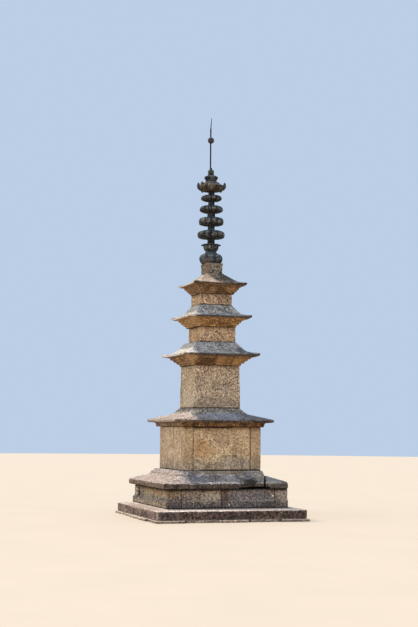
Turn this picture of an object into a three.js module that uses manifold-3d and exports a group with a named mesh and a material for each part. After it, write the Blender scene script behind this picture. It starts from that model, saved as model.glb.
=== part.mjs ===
// A three-storey granite pagoda on a two-tier stone platform, with its stone and iron finial.
// Millimetres, +Z up. The origin is the centre of the foot of the lowest course. -Y is the broad
// face seen first, and -X the face to its left.

import * as THREE from 'three';
import { mergeVertices } from 'three/addons/utils/BufferGeometryUtils.js';
import Module from 'manifold-3d';

const wasm = await Module();
wasm.setup();

// Heights of the courses above the foot
const FOUNDATION_TOP = 46;
const GROUND_SLAB_RIM = 232;
const LOWER_WALL_FOOT = 249;
const LOWER_WALL_TOP = 635;
const UPPER_WALL_FOOT = 973;
const UPPER_WALL_TOP = 1851;
const FIRST_BODY_FOOT = 2232;
const FIRST_BODY_TOP = 3111;
const SECOND_BODY_FOOT = 3596;
const SECOND_BODY_TOP = 3910;
const THIRD_BODY_FOOT = 4372;
const THIRD_BODY_TOP = 4605;
const FINIAL_FOOT = 5048;
const FINIAL_TIP = 8400;

// Half-widths of the courses
const FOUNDATION_HALF = 1650;
const GROUND_SLAB_HALF = 1553;
const LOWER_WALL_HALF = 1262;
const UPPER_WALL_HALF = 835;
const FIRST_BODY_HALF = 502;
const SECOND_BODY_HALF = 393;
const THIRD_BODY_HALF = 342;

// Stones that sit a little off the tower's axis, towards +X or -X
const LOWER_COVER_SHIFT = -42;
const UPPER_COVER_SHIFT = -12;
const SECOND_BODY_SHIFT = 39;
const SECOND_ROOF_SHIFT = 12;
const THIRD_BODY_SHIFT = 20;
const THIRD_ROOF_SHIFT = 37;
const BASE_BLOCK_SHIFT = 22;
const LOBED_STONE_SHIFT = -9;
const DRUM_SHIFT = -15;
const ROD_SHIFT = -26;
const BALL_SHIFT = -20;

// How thick the lower platform's wall stones are, and the fine joint between two stones
const LOWER_WALL_THICK = 281;
const JOINT = 0.4;

// Iron rod, and the bore that it runs in
const ROD_RADIUS = 12.5;
const BORE_RADIUS = 13.0;
const ROUND_SEGMENTS = 24;

const GRANITE = { color: 0xa08c74, roughness: 0.92, metalness: 0.0 };
const DARK_GRANITE = { color: 0x6e6052, roughness: 0.95, metalness: 0.0 };
const FINIAL_STONE = { color: 0x5c574c, roughness: 0.95, metalness: 0.0 };
const IRON = { color: 0x2a2522, roughness: 0.75, metalness: 0.6 };

const tower = new THREE.Group();
tower.name = 'pagoda';

// A three.js geometry as a solid that can be cut and joined
function solidFrom(geometry) {
  const bare = geometry.clone();
  bare.deleteAttribute('normal');
  bare.deleteAttribute('uv');
  const merged = mergeVertices(bare, 1e-3);
  const vertProperties = new Float32Array(merged.attributes.position.array);
  const triVerts = new Uint32Array(merged.index.array);
  return new wasm.Manifold(new wasm.Mesh({ numProp: 3, vertProperties, triVerts }));
}

// A solid as a named stone or iron piece of the tower
function addPiece(name, solid, finish) {
  const mesh = solid.getMesh();
  const geometry = new THREE.BufferGeometry();
  geometry.setAttribute('position', new THREE.BufferAttribute(new Float32Array(mesh.vertProperties), 3));
  geometry.setIndex(new THREE.BufferAttribute(new Uint32Array(mesh.triVerts), 1));
  geometry.computeVertexNormals();
  const piece = new THREE.Mesh(geometry, new THREE.MeshStandardMaterial(finish));
  piece.name = name;
  tower.add(piece);
}

function box(x0, x1, y0, y1, z0, z1) {
  const geometry = new THREE.BoxGeometry(x1 - x0, y1 - y0, z1 - z0);
  geometry.translate((x0 + x1) / 2, (y0 + y1) / 2, (z0 + z1) / 2);
  return solidFrom(geometry);
}

// A square course whose side is a list of [half-width, height, corner lift], from foot to top.
// The lift raises the side towards the corners, as the eaves of a roof rise.
function course(side, shift = 0, columns = 1, sharpness = 3) {
  const geometry = new THREE.BoxGeometry(2, 2, 1, columns, columns, side.length - 1);
  const position = geometry.attributes.position;
  for (let i = 0; i < position.count; i += 1) {
    const u = Math.sin(position.getX(i) * Math.PI / 2);
    const v = Math.sin(position.getY(i) * Math.PI / 2);
    const level = Math.round((position.getZ(i) + 0.5) * (side.length - 1));
    const [half, height, lift = 0] = side[level];
    const nearness = Math.min(Math.abs(u), Math.abs(v)) ** sharpness;
    position.setXYZ(i, u * half + shift, v * half, height + lift * nearness);
  }
  return solidFrom(geometry);
}

// A body of the tower: one stone whose four corner posts stand a little proud of its faces
function storeyBody(half, foot, top, postWidth, shift, narrowing) {
  const relief = 14;
  const inner = half - postWidth;
  const sunk = half - relief;
  const outline = new THREE.Shape();
  const side = [[-half, -half], [-inner, -half], [-inner, -sunk], [inner, -sunk], [inner, -half]];
  for (let quarter = 0; quarter < 4; quarter += 1) {
    const turn = quarter * Math.PI / 2;
    side.forEach(([x, y], index) => {
      const px = x * Math.cos(turn) - y * Math.sin(turn);
      const py = x * Math.sin(turn) + y * Math.cos(turn);
      if (quarter === 0 && index === 0) outline.moveTo(px, py);
      else outline.lineTo(px, py);
    });
  }
  outline.closePath();
  const geometry = new THREE.ExtrudeGeometry(outline, { depth: top - foot, bevelEnabled: false });
  const position = geometry.attributes.position;
  for (let i = 0; i < position.count; i += 1) {
    const rise = position.getZ(i) / (top - foot);
    const scale = 1 - rise * narrowing / half;
    position.setXYZ(i, position.getX(i) * scale + shift, position.getY(i) * scale, foot + position.getZ(i));
  }
  return solidFrom(geometry);
}

// A shape turned about the tower's axis, from a side given as [radius, height] from foot to top
function turnedGeometry(side) {
  const points = [new THREE.Vector2(0, side[0][1])];
  side.forEach(([radius, height]) => points.push(new THREE.Vector2(radius, height)));
  points.push(new THREE.Vector2(0, side[side.length - 1][1]));
  return new THREE.LatheGeometry(points, ROUND_SEGMENTS).rotateX(Math.PI / 2);
}

function turned(side) {
  return solidFrom(turnedGeometry(side));
}

// Small rounded bosses in a circle round a stone, such as the petal tips on a rim
function bosses(count, start, radius, height, size) {
  const [across, along, tall] = size;
  let all = null;
  for (let i = 0; i < count; i += 1) {
    const angle = start + i * 2 * Math.PI / count;
    const boss = solidFrom(new THREE.SphereGeometry(1, 8, 6)
      .rotateX(Math.PI / 2)
      .scale(across, along, tall)
      .rotateZ(angle)
      .translate(radius * Math.cos(angle), radius * Math.sin(angle), height));
    all = all ? all.add(boss) : boss;
  }
  return all;
}

// Foundation course: the thin lip of stone under the ground slab
addPiece('foundation_course', box(-FOUNDATION_HALF, FOUNDATION_HALF, -FOUNDATION_HALF,
  FOUNDATION_HALF, 0, FOUNDATION_TOP), DARK_GRANITE);

// Ground slab: four long stones round a core of rubble, their top shedding water outwards
const slabInner = GROUND_SLAB_HALF - 620;
const slabRing = course([
  [GROUND_SLAB_HALF, FOUNDATION_TOP],
  [GROUND_SLAB_HALF, GROUND_SLAB_RIM - 14],
  [GROUND_SLAB_HALF - 14, GROUND_SLAB_RIM],
  [LOWER_WALL_HALF + 45, LOWER_WALL_FOOT],
]).subtract(box(-slabInner, slabInner, -slabInner, slabInner, -1, 400));
const outside = 2000;
addPiece('ground_slab_front', slabRing.intersect(
  box(-outside, outside, -outside, -slabInner, 0, 400)), DARK_GRANITE);
addPiece('ground_slab_back', slabRing.intersect(
  box(-outside, outside, slabInner, outside, 0, 400)), DARK_GRANITE);
addPiece('ground_slab_left', slabRing.intersect(
  box(-outside, 0, -slabInner + JOINT, slabInner - JOINT, 0, 400)), DARK_GRANITE);
addPiece('ground_slab_right', slabRing.intersect(
  box(0, outside, -slabInner + JOINT, slabInner - JOINT, 0, 400)), DARK_GRANITE);

// Lower platform walls: a ring with a base moulding, corner posts and one inner post a side. On the
// front and the right the moulding has weathered back almost to the wall's face.
const lowerPost = LOWER_WALL_THICK - 4;
const lowerInnerPost = 160;
const lowerRelief = 16;
const lowerBand = 150;
const wornMoulding = LOWER_WALL_HALF + 6;
const lowerCore = course([
  [LOWER_WALL_HALF - lowerRelief, LOWER_WALL_FOOT],
  [LOWER_WALL_HALF - lowerRelief - 8, LOWER_WALL_TOP],
]);
const lowerMoulding = course([
  [LOWER_WALL_HALF + 32, LOWER_WALL_FOOT],
  [LOWER_WALL_HALF + 32, LOWER_WALL_FOOT + lowerBand - 20],
  [LOWER_WALL_HALF - 4, LOWER_WALL_FOOT + lowerBand],
]).intersect(box(-outside, wornMoulding, -wornMoulding, outside, 0, 900));
let lowerRing = lowerCore.add(lowerMoulding);
const lowerFace = LOWER_WALL_HALF - 4;
const lowerEdge = lowerFace - lowerPost;
for (const sx of [-1, 1]) {
  for (const sy of [-1, 1]) {
    lowerRing = lowerRing.add(box(
      Math.min(sx * lowerFace, sx * lowerEdge), Math.max(sx * lowerFace, sx * lowerEdge),
      Math.min(sy * lowerFace, sy * lowerEdge), Math.max(sy * lowerFace, sy * lowerEdge),
      LOWER_WALL_FOOT, LOWER_WALL_TOP));
  }
}
lowerRing = lowerRing
  .add(box(-lowerInnerPost, lowerInnerPost, -lowerFace, lowerFace, LOWER_WALL_FOOT, LOWER_WALL_TOP))
  .add(box(-lowerFace, lowerFace, -lowerInnerPost, lowerInnerPost, LOWER_WALL_FOOT, LOWER_WALL_TOP));
const lowerHollow = LOWER_WALL_HALF - LOWER_WALL_THICK;
lowerRing = lowerRing.subtract(box(-lowerHollow, lowerHollow, -lowerHollow, lowerHollow, 0, 900));

const frontJoint = -143;
const backJoint = 143;
const sideEdge = LOWER_WALL_HALF - LOWER_WALL_THICK;
const lowerStones = {
  lower_wall_left: [-outside, -sideEdge, -outside, outside],
  lower_wall_right: [sideEdge, outside, -outside, outside],
  lower_wall_front_left: [-sideEdge + JOINT, frontJoint, -outside, 0],
  lower_wall_front_right: [frontJoint + JOINT, sideEdge - JOINT, -outside, 0],
  lower_wall_back_left: [-sideEdge + JOINT, backJoint, 0, outside],
  lower_wall_back_right: [backJoint + JOINT, sideEdge - JOINT, 0, outside],
};
for (const [name, [x0, x1, y0, y1]] of Object.entries(lowerStones)) {
  addPiece(name, lowerRing.intersect(box(x0, x1, y0, y1, 0, 900)), DARK_GRANITE);
}

// Lower cover: four sloped slabs. The front and back ones carry the two-tier seat of the upper
// platform. The two on the right are plain slopes with a short outer edge, and have slid out from
// a joint that runs askew from the rim to the seat's foot.
const seatFoot = 872;
const seatRight = 858;
const rimJoint = 715;
const openJoint = 26;
const coverSplit = -60;
const coverRight = 1236;
const lowerCover = course([
  [1316, LOWER_WALL_TOP],
  [1333, LOWER_WALL_TOP + 12],
  [1333, 738],
  [1322, 752],
  [968, seatFoot],
  [960, 924],
  [912, 932],
  [900, UPPER_WALL_FOOT],
], LOWER_COVER_SHIFT).subtract(box(-560, 560, -560, 560, 0, 1100));

// What lies right of the joint, as a solid to cut with. The joint starts that far to the right.
function rightOfJoint(start) {
  const rim = 1333;
  const seat = 968;
  const outline = new THREE.Shape([
    [rimJoint, -outside], [rimJoint, -rim], [seatRight, -seat], [seatRight, seat], [rimJoint, rim],
    [rimJoint, outside], [outside, outside], [outside, -outside],
  ].map(([x, y]) => new THREE.Vector2(x + start, y)));
  return solidFrom(new THREE.ExtrudeGeometry(outline, { depth: 1100, bevelEnabled: false }));
}

const seatSlabs = lowerCover.subtract(rightOfJoint(0));
const slidSlabs = lowerCover
  .intersect(rightOfJoint(openJoint))
  .intersect(box(0, coverRight, -outside, outside, 0, seatFoot));
const frontHalf = box(-outside, outside, -outside, coverSplit, 0, 1100);
const backHalf = box(-outside, outside, coverSplit + JOINT, outside, 0, 1100);
addPiece('lower_cover_front', seatSlabs.intersect(frontHalf), GRANITE);
addPiece('lower_cover_back', seatSlabs.intersect(backHalf), GRANITE);
addPiece('lower_cover_right_front', slidSlabs.intersect(frontHalf), GRANITE);
addPiece('lower_cover_right_back', slidSlabs.intersect(backHalf), GRANITE);

// Upper platform walls: two slabs a side on left and right, whose ends show on the front and
// back as corner posts, and one slab between them, with a faint post in its middle
const upperRelief = 10;
const upperPost = 216;
const upperInnerPost = 112;
const upperShift = -33;
const upperFace = UPPER_WALL_HALF - 2;
let upperRing = course([
  [UPPER_WALL_HALF - upperRelief, UPPER_WALL_FOOT],
  [UPPER_WALL_HALF - upperRelief - 2, UPPER_WALL_TOP],
]);
for (const sx of [-1, 1]) {
  for (const sy of [-1, 1]) {
    const inner = upperFace - upperPost;
    upperRing = upperRing.add(box(
      Math.min(sx * upperFace, sx * inner), Math.max(sx * upperFace, sx * inner),
      Math.min(sy * upperFace, sy * inner), Math.max(sy * upperFace, sy * inner),
      UPPER_WALL_FOOT, UPPER_WALL_TOP));
  }
}
upperRing = upperRing
  .add(box(upperShift - upperInnerPost, upperShift + upperInnerPost, -upperFace, upperFace,
    UPPER_WALL_FOOT, UPPER_WALL_TOP))
  .add(box(-upperFace, upperFace, -upperInnerPost, upperInnerPost, UPPER_WALL_FOOT, UPPER_WALL_TOP));
const upperEdge = upperFace - upperPost;
upperRing = upperRing.subtract(box(-upperEdge, upperEdge, -upperEdge, upperEdge, 0, 2000));

const upperSplit = -128;
const upperStones = {
  upper_wall_left_front: [-outside, -upperEdge, -outside, upperSplit],
  upper_wall_left_back: [-outside, -upperEdge, upperSplit + JOINT, outside],
  upper_wall_right_front: [upperEdge, outside, -outside, -upperSplit],
  upper_wall_right_back: [upperEdge, outside, -upperSplit + JOINT, outside],
  upper_wall_front: [-upperEdge + JOINT, upperEdge - JOINT, -outside, 0],
  upper_wall_back: [-upperEdge + JOINT, upperEdge - JOINT, 0, outside],
};
for (const [name, [x0, x1, y0, y1]] of Object.entries(upperStones)) {
  addPiece(name, upperRing.intersect(box(x0, x1, y0, y1, 0, 2000)), GRANITE);
}

// Upper cover: two sloped slabs with a projecting under-step, a rim and three small tiers on
// top that seat the first body
const upperCover = course([
  [895, UPPER_WALL_TOP],
  [905, 1929],
  [1044, 1934, 8],
  [1053, 1946, 8],
  [1053, 1988, 10],
  [1046, 1996, 10],
  [905, 2036, 6],
  [612, 2122],
  [600, 2155],
  [562, 2160],
  [556, 2196],
  [526, 2200],
  [522, FIRST_BODY_FOOT],
], UPPER_COVER_SHIFT, 6);
const upperCoverSplit = 34;
addPiece('upper_cover_front', upperCover.intersect(
  box(-outside, outside, -outside, upperCoverSplit, 0, 3000)), GRANITE);
addPiece('upper_cover_back', upperCover.intersect(
  box(-outside, outside, upperCoverSplit + JOINT, outside, 0, 3000)), GRANITE);

// The three storeys: each has a body of one stone and a roof of one stone. A roof rests on its
// body, with stepped corbels below the eaves and a hollow slope above them.
const ROOF_COLUMNS = 8;

addPiece('first_body', storeyBody(FIRST_BODY_HALF, FIRST_BODY_FOOT, FIRST_BODY_TOP, 142, 0, 14), GRANITE);
addPiece('first_roof', course([
  [514, FIRST_BODY_TOP],
  [518, 3152],
  [566, 3156],
  [570, 3196],
  [618, 3200],
  [622, 3240],
  [670, 3244],
  [674, 3286],
  [812, 3290, 22],
  [822, 3302, 22],
  [820, 3336, 32],
  [806, 3343, 32],
  [700, 3362, 22],
  [610, 3398, 9],
  [556, 3446, 4],
  [500, 3514],
  [462, 3566],
  [436, 3586],
  [430, SECOND_BODY_FOOT],
], 0, ROOF_COLUMNS, 5), GRANITE);

addPiece('second_body', storeyBody(SECOND_BODY_HALF, SECOND_BODY_FOOT, SECOND_BODY_TOP, 150,
  SECOND_BODY_SHIFT, 2), GRANITE);
addPiece('second_roof', course([
  [421, SECOND_BODY_TOP],
  [425, 3950],
  [461, 3954],
  [465, 3992],
  [501, 3996],
  [505, 4034],
  [541, 4038],
  [545, 4076],
  [671, 4080, 26],
  [681, 4090, 26],
  [679, 4122, 34],
  [667, 4128, 34],
  [580, 4143, 26],
  [505, 4180, 12],
  [452, 4232, 4],
  [412, 4286],
  [372, 4344],
  [358, 4362],
  [352, THIRD_BODY_FOOT],
], SECOND_ROOF_SHIFT, ROOF_COLUMNS, 5), GRANITE);

addPiece('third_body', storeyBody(THIRD_BODY_HALF, THIRD_BODY_FOOT, THIRD_BODY_TOP, 145,
  THIRD_BODY_SHIFT, 3), GRANITE);
addPiece('third_roof', course([
  [367, THIRD_BODY_TOP],
  [371, 4644],
  [404, 4648],
  [408, 4686],
  [439, 4690],
  [443, 4728],
  [474, 4732],
  [478, 4771],
  [573, 4775, 20],
  [583, 4784, 20],
  [581, 4811, 26],
  [571, 4817, 26],
  [490, 4836, 20],
  [425, 4864, 8],
  [365, 4908, 3],
  [305, 4956],
  [235, 5009],
  [198, 5034],
  [192, FINIAL_FOOT],
], THIRD_ROOF_SHIFT, ROOF_COLUMNS, 5), GRANITE);

// Finial: stones threaded on an iron rod, each resting on the one below it. Each wheel and the
// lotus has the neck above it cut from the same stone.
const boreLength = 3200;
const bore = solidFrom(new THREE.CylinderGeometry(BORE_RADIUS, BORE_RADIUS, boreLength, ROUND_SEGMENTS)
  .rotateX(Math.PI / 2)
  .translate(ROD_SHIFT, 0, FINIAL_FOOT - 100 + boreLength / 2));
const petalStart = 26.67 * Math.PI / 180;

addPiece('finial_base_block', course([
  [178, FINIAL_FOOT],
  [181, 5222],
  [190, 5228],
  [188, 5270],
], BASE_BLOCK_SHIFT).subtract(bore), FINIAL_STONE);

addPiece('inverted_bowl', turned([
  [198, 5270], [226, 5298], [246, 5342], [250, 5380], [240, 5420], [215, 5455], [176, 5474], [138, 5482],
  [132, 5502], [114, 5518],
]).subtract(bore), FINIAL_STONE);

const lotus = turned([
  [118, 5518], [124, 5536], [127, 5550], [150, 5564], [158, 5600], [166, 5640], [190, 5664], [186, 5682],
  [110, 5684], [82, 5692], [78, 5750], [82, 5806],
]);
addPiece('upturned_lotus', lotus
  .add(bosses(8, petalStart, 186, 5664, [30, 52, 20]))
  .subtract(bore), FINIAL_STONE);

addPiece('fourth_wheel', turned([
  [205, 5806], [258, 5814], [283, 5833], [296, 5872], [290, 5912], [268, 5940], [235, 5958],
  [180, 5973], [90, 5982], [77, 5990], [77, 6084],
]).subtract(bore), FINIAL_STONE);
addPiece('third_wheel', turned([
  [150, 6084], [214, 6090], [250, 6102], [266, 6128], [269, 6165], [263, 6205], [238, 6236], [200, 6248],
  [125, 6250], [121, 6264], [88, 6270], [84, 6310], [86, 6357],
]).subtract(bore), FINIAL_STONE);
addPiece('second_wheel', turned([
  [158, 6357], [200, 6366], [238, 6384], [254, 6412], [250, 6442], [229, 6475], [190, 6497], [120, 6508],
  [70, 6512], [68, 6606],
]).subtract(bore), FINIAL_STONE);
addPiece('first_wheel', turned([
  [152, 6606], [186, 6616], [216, 6635], [228, 6658], [220, 6686], [198, 6710], [163, 6725], [90, 6731],
  [70, 6736], [68, 6806],
]).subtract(bore), FINIAL_STONE);

// The canopy's rim turns up into eight ears. Two still stand whole and the others have lost their
// tips, so each has its own height, counted round from the ear at the back right.
let canopyShape = turned([
  [112, 6806], [200, 6821], [256, 6840], [286, 6864], [303, 6900], [296, 6924], [246, 6936], [190, 6952],
  [178, 6990], [142, 7009], [104, 7014],
]);
const earTips = [6978, 6985, 6975, 7011, 6998, 6948, 6940, 7014];
const earHeight = 78;
earTips.forEach((tip, index) => {
  const angle = petalStart + index * Math.PI / 4;
  canopyShape = canopyShape.add(bosses(1, angle, 277, tip - earHeight, [35, 50, earHeight]));
});
addPiece('canopy', canopyShape.subtract(bore), FINIAL_STONE);

const lobes = bosses(8, petalStart, 112, 7108, [38, 44, 38]);
addPiece('lobed_stone', turned([
  [122, 7014], [120, 7062], [134, 7074], [138, 7104], [132, 7132], [106, 7146], [66, 7150],
]).add(lobes).translate(LOBED_STONE_SHIFT, 0, 0).subtract(bore), FINIAL_STONE);
addPiece('drum', turned([
  [61, 7150], [66, 7162], [66, 7258], [54, 7272], [32, 7274], [30, 7302], [22, 7321],
]).translate(DRUM_SHIFT, 0, 0).subtract(bore), FINIAL_STONE);
addPiece('ball', turned([
  [24, 7848], [52, 7866], [66, 7896], [67, 7922], [54, 7956], [24, 7974],
]).translate(BALL_SHIFT, 0, 0).subtract(bore), IRON);

// The rod stands on the third roof, carries the ball and ends in a thin, slightly bent spike
const spikeFoot = 8150;
const spikeLean = 16;
const rodShape = turnedGeometry([
  [ROD_RADIUS, FINIAL_FOOT], [ROD_RADIUS, spikeFoot], [8, spikeFoot + 30], [6, 8290], [3, FINIAL_TIP],
]);
const rodPoints = rodShape.attributes.position;
for (let i = 0; i < rodPoints.count; i += 1) {
  const along = Math.max(0, rodPoints.getZ(i) - spikeFoot) / (FINIAL_TIP - spikeFoot);
  rodPoints.setX(i, rodPoints.getX(i) + ROD_SHIFT + spikeLean * along);
}
addPiece('iron_rod', solidFrom(rodShape), IRON);

export default tower;
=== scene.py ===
import math

import bmesh
import bpy
from mathutils import Matrix, Vector


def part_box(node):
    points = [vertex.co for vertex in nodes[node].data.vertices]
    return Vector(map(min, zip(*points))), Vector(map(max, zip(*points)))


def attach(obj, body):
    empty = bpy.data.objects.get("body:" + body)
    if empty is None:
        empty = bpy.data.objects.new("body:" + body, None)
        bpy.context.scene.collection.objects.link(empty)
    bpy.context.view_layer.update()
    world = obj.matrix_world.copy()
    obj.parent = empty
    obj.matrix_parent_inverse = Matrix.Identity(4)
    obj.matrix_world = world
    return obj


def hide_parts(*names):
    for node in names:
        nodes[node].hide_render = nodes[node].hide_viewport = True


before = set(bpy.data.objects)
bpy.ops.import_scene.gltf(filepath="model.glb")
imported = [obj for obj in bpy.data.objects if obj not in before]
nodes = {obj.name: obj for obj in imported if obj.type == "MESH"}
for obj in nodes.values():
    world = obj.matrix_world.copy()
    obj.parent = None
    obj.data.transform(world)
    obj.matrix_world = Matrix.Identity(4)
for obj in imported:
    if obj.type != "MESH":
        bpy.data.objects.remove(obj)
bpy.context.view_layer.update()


# Foundation course
# A lip of flat split granite slips, uneven in length and reach, that the ground slab beds on.
# They are laid dry on the ground and pinned by the weight of the slab over them.

def add_node(tree, kind, inputs=None, **settings):
    """The outputs of a new node. An input given as a socket is linked, anything else is its value."""
    made = tree.nodes.new(kind)
    for name, value in settings.items():
        setattr(made, name, value)
    for name, value in (inputs or {}).items():
        if isinstance(value, bpy.types.NodeSocket):
            tree.links.new(value, made.inputs[name])
        else:
            made.inputs[name].default_value = value
    return made.outputs


def calc(tree, operation, *values, clamp=False):
    """The result of a sum on numbers or sockets."""
    return add_node(tree, "ShaderNodeMath", dict(enumerate(values)), operation=operation, use_clamp=clamp)[0]


def times(tree, result, *others):
    for other in others:
        result = calc(tree, "MULTIPLY", result, other)
    return result


def plus(tree, result, *others):
    for other in others:
        result = calc(tree, "ADD", result, other)
    return result


def minus(tree, value, taken):
    return calc(tree, "SUBTRACT", value, taken)


def over(tree, value, divisor):
    return calc(tree, "DIVIDE", value, divisor)


def vector_calc(tree, operation, *values):
    made = add_node(tree, "ShaderNodeVectorMath", dict(enumerate(values)), operation=operation)
    return made["Value" if operation in ("DOT_PRODUCT", "LENGTH") else "Vector"]


def vector(tree, x, y, z):
    return add_node(tree, "ShaderNodeCombineXYZ", {0: x, 1: y, 2: z})[0]


def split(tree, value):
    """The X, Y and Z of a vector."""
    return add_node(tree, "ShaderNodeSeparateXYZ", {0: value})


def rise(tree, value, low, high):
    """0 below low, 1 above high and a smooth rise between them. With low over high it falls."""
    return add_node(tree, "ShaderNodeMapRange", {"Value": value, "From Min": low, "From Max": high},
                    interpolation_type="SMOOTHSTEP")["Result"]


def clouds(tree, place, size, detail=2.0, roughness=0.5):
    """Soft random patches of about that size, from 0 to 1."""
    return add_node(tree, "ShaderNodeTexNoise", {
        "Vector": place, "Scale": over(tree, 1.0, size), "Detail": detail, "Roughness": roughness})["Fac"]


def swing(tree, place, size, detail, roughness, reach):
    """Clouds that swing to both sides of 0, as far as half that reach."""
    return times(tree, minus(tree, clouds(tree, place, size, detail, roughness), 0.5), reach)


def cells(tree, place, scale, bend, bend_scale, bend_detail):
    """Cells with ragged sides: the place as it is bent for them, how far it lies from the middle of
    its cell, and three random numbers for the cell."""
    noise = add_node(tree, "ShaderNodeTexNoise", {
        "Vector": place, "Scale": bend_scale, "Detail": bend_detail})["Color"]
    bent = vector_calc(tree, "ADD", place, vector_calc(tree, "MULTIPLY", noise, (bend, bend, bend)))
    made = add_node(tree, "ShaderNodeTexVoronoi", {"Vector": bent, "Scale": scale})
    return bent, made["Distance"], split(tree, made["Color"])


def titled(values):
    """Values under the names of their sockets."""
    return {label.replace("_", " ").title(): value for label, value in values.items()}


def open_tree(name, first="Stone", **numbers):
    """A Geometry Nodes tree with its inputs and their usual values, its group input and its output."""
    tree = bpy.data.node_groups.new(name, "GeometryNodeTree")
    add_socket = tree.interface.new_socket
    add_socket(first, in_out="INPUT", socket_type="NodeSocketGeometry")
    for label, value in titled(numbers).items():
        add_socket(label, in_out="INPUT", socket_type="NodeSocketFloat").default_value = value
    add_socket("Finish", in_out="INPUT", socket_type="NodeSocketMaterial")
    add_socket("Stone", in_out="OUTPUT", socket_type="NodeSocketGeometry")
    return tree, tree.nodes.new("NodeGroupInput").outputs, tree.nodes.new("NodeGroupOutput").inputs


def store(tree, shape, label, value):
    """The shape with a number kept at each of its points, for its finish."""
    return add_node(tree, "GeometryNodeStoreNamedAttribute", {
        "Geometry": shape, "Name": label, "Value": value}, data_type="FLOAT", domain="POINT")[0]


def push_in(tree, shape, normal, depth):
    """The shape with its points moved inwards by a depth."""
    inward = add_node(tree, "ShaderNodeVectorMath", {0: normal, "Scale": times(tree, depth, -1.0)},
                      operation="SCALE")["Vector"]
    return add_node(tree, "GeometryNodeSetPosition", {"Geometry": shape, "Offset": inward})[0]


def close_tree(tree, given, result, shape):
    """Ends a tree: a real mesh in place of instances, with the finish on it."""
    real = add_node(tree, "GeometryNodeRealizeInstances", {"Geometry": shape})[0]
    coated = add_node(tree, "GeometryNodeSetMaterial", {"Geometry": real, "Material": given["Finish"]})[0]
    tree.links.new(coated, result["Stone"])
    return tree


def worn_stone_tree():
    """Weathers a stone that has an even fine mesh: rounded arrises, chips along them, a wavy face and
    pits. Every move goes into the stone. Beds and what other stones hide stay flat. The arrises, the
    inner corners and the pits are stored for the finish."""
    tree, given, result = open_tree(
        "worn stone", grid=0.01, hidden_half=0.0, rounding=0.006, chip_depth=0.016, chip_size=0.09,
        wave_depth=0.006, wave_size=0.25, pit_depth=0.006, pit_size=0.055, seed=0.0)
    place = add_node(tree, "GeometryNodeInputPosition")[0]
    normal = add_node(tree, "GeometryNodeInputNormal")["Normal"]
    even = add_node(tree, "GeometryNodeBlurAttribute", {"Iterations": 20, "Value": place},
                    data_type="FLOAT_VECTOR")[0]
    lean = vector_calc(tree, "DOT_PRODUCT", vector_calc(tree, "SUBTRACT", place, even), normal)
    bend = over(tree, lean, times(tree, given["Grid"], 1.7))
    arris = rise(tree, bend, 0.12, 1.0)
    corner = rise(tree, bend, -0.12, -1.0)

    seed = given["Seed"]
    drift = vector(tree, seed, times(tree, seed, 1.7), times(tree, seed, -2.3))
    spot = vector_calc(tree, "ADD", place, drift)
    uneven = calc(tree, "MULTIPLY_ADD", clouds(tree, spot, 0.16), 0.9, 0.1)
    rounded = times(tree, arris, uneven, given["Rounding"])
    broken = rise(tree, clouds(tree, spot, given["Chip Size"], 4.0, 0.6), 0.54, 0.68)
    chipped = times(tree, broken, rise(tree, bend, 0.02, 0.5), given["Chip Depth"])
    wavy = times(tree, clouds(tree, spot, given["Wave Size"], 3.0, 0.55), given["Wave Depth"])
    _, away, luck = cells(tree, spot, over(tree, 1.0, given["Pit Size"]), 0.02, 28.0, 2.0)
    pit = times(tree, rise(tree, away, 0.42, 0.12), rise(tree, luck["X"], 0.35, 0.6), given["Pit Depth"])

    box = add_node(tree, "GeometryNodeBoundBox", {"Geometry": given["Stone"]})
    spread = split(tree, place)
    above_foot = minus(tree, spread["Z"], split(tree, box["Min"])["Z"])
    below_top = minus(tree, split(tree, box["Max"])["Z"], spread["Z"])
    near_bed = rise(tree, calc(tree, "MINIMUM", above_foot, below_top), 0.006, 0.003)
    flat = rise(tree, calc(tree, "ABSOLUTE", split(tree, normal)["Z"]), 0.8, 0.97)
    bed = times(tree, near_bed, flat)
    reach = calc(tree, "MAXIMUM", calc(tree, "ABSOLUTE", spread["X"]), calc(tree, "ABSOLUTE", spread["Y"]))
    shown = rise(tree, minus(tree, reach, given["Hidden Half"]), -0.004, 0.004)
    loose = times(tree, shown, minus(tree, 1.0, bed))

    depth = plus(tree, plus(tree, rounded, chipped), plus(tree, wavy, pit))
    pitted = over(tree, pit, calc(tree, "MAXIMUM", given["Pit Depth"], 0.0001))
    shape = given["Stone"]
    for label, value in (("arris", arris), ("corner", corner), ("pit", pitted)):
        shape = store(tree, shape, label, value)
    shape = push_in(tree, shape, normal, times(tree, depth, loose))
    smooth = add_node(tree, "GeometryNodeSetShadeSmooth", {"Geometry": shape})[0]
    return close_tree(tree, given, result, smooth)


WORN_STONE = worn_stone_tree()


def run_tree(rough, tree, **values):
    """Puts a Geometry Nodes tree on an object, its inputs set by the sockets' identifiers."""
    modifier = rough.modifiers.new(tree.name, "NODES")
    modifier.node_group = tree
    named = titled(values)
    for socket in tree.interface.items_tree:
        if socket.in_out == "INPUT" and socket.name in named:
            modifier[socket.identifier] = named[socket.name]


def new_object(name, data):
    made = bpy.data.objects.new(name, data)
    bpy.context.scene.collection.objects.link(made)
    return made


def made_mesh(rough):
    """The plain mesh that an object's modifiers give. The object and its modifiers are removed."""
    seen = rough.evaluated_get(bpy.context.evaluated_depsgraph_get())
    mesh = bpy.data.meshes.new_from_object(seen)
    bpy.data.objects.remove(rough)
    return mesh


def copied(node):
    """A loose copy of a CAD stone, its corners merged, to cut and wear."""
    mesh = nodes[node].data.copy()
    mesh.materials.clear()
    work = bmesh.new()
    work.from_mesh(mesh)
    bmesh.ops.remove_doubles(work, verts=work.verts, dist=0.00002)
    work.to_mesh(mesh)
    work.free()
    return new_object("rough " + node, mesh)


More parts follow.
